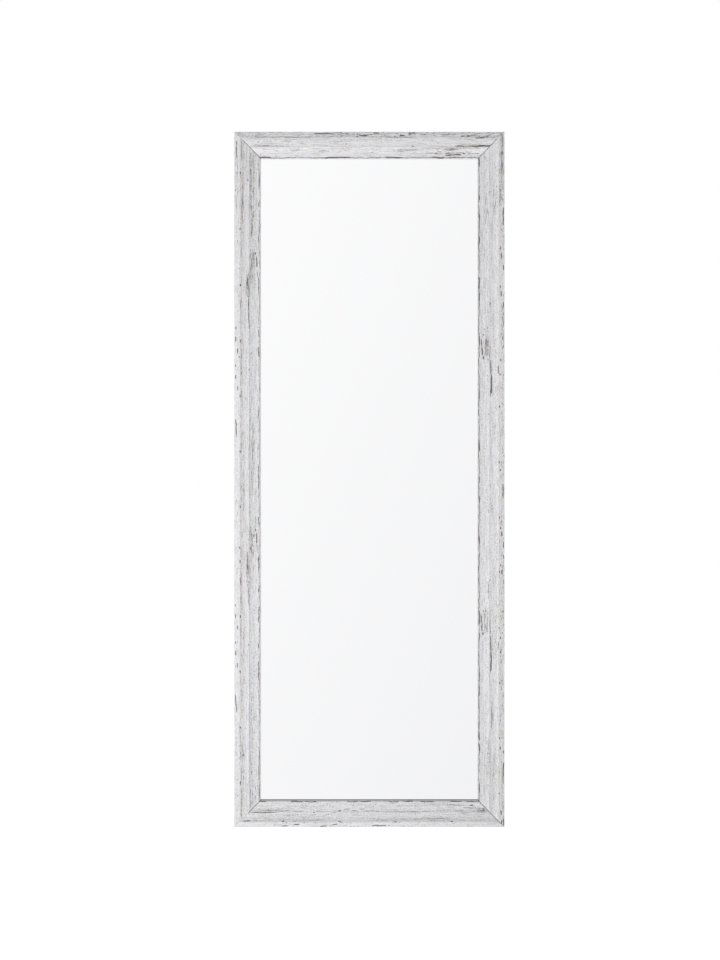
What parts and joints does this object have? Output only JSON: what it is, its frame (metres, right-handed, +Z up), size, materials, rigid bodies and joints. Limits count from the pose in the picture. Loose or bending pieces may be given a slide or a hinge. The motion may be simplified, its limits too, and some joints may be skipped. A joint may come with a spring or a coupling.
{
  "type": "floor mirror",
  "caption": "Full-length rectangular floor mirror in a scooped, mitred, whitewashed wood frame, leaning back on a tubular steel stand that folds flat behind it.",
  "frame": {"origin": "on the floor, under the middle of the standing mirror's box", "axes": "+Z up, front of the mirror towards -Y, stand towards +Y, +X to the right as seen from the front"},
  "size_m": [0.7, 0.3658, 1.7865],
  "materials": {
    "whitewashed_wood": "whitewashed and rubbed through to grey-brown wood along its edges",
    "silvered_glass": "polished float glass, silvered on its back",
    "hardboard": "brown hardboard, smooth side out",
    "foam": "thin white closed-cell foam",
    "bedding_tape": "grey foam tape",
    "zinc_plated_steel": "zinc-plated steel",
    "black_steel": "satin black powder coat",
    "black_plastic": "matte moulded plastic",
    "black_rubber": "matte rubber with fine ribs",
    "pale_rubber": "off-white rubber",
    "nylon": "natural nylon"
  },
  "bodies": {
    "mirror": {"frame_rail_top": "whitewashed_wood", "frame_rail_bottom": "whitewashed_wood", "frame_rail_left": "whitewashed_wood", "frame_rail_right": "whitewashed_wood", "mirror_glass": "silvered_glass", "glass_tape": "bedding_tape", "foam_sheet": "foam", "backing_board": "hardboard", "backing_clips": "zinc_plated_steel", "backing_clip_screws": "zinc_plated_steel", "corner_v_nails": "zinc_plated_steel", "corner_plates": "zinc_plated_steel", "corner_plate_screws": "zinc_plated_steel", "keyhole_hangers": "zinc_plated_steel", "hanger_screws": "zinc_plated_steel", "stand_bracket_left": "black_steel", "stand_bracket_right": "black_steel", "stand_bracket_screws": "zinc_plated_steel", "stand_pivot_bolts": "zinc_plated_steel", "stand_pivot_nuts": "zinc_plated_steel", "floor_pads": "pale_rubber"},
    "stand": {"stand_tube": "black_steel", "stand_end_plugs": "black_plastic", "stand_foot_sleeves": "black_rubber", "stand_saddle_washers": "nylon"}
  },
  "joints": [
    {"name": "stand_fold", "type": "hinge", "parent": "mirror", "child": "stand", "pos_m": [0, 0.01944, 1.08703], "axis": [-1, 0, 0], "range_deg": [0, 16.4]}
  ]
}
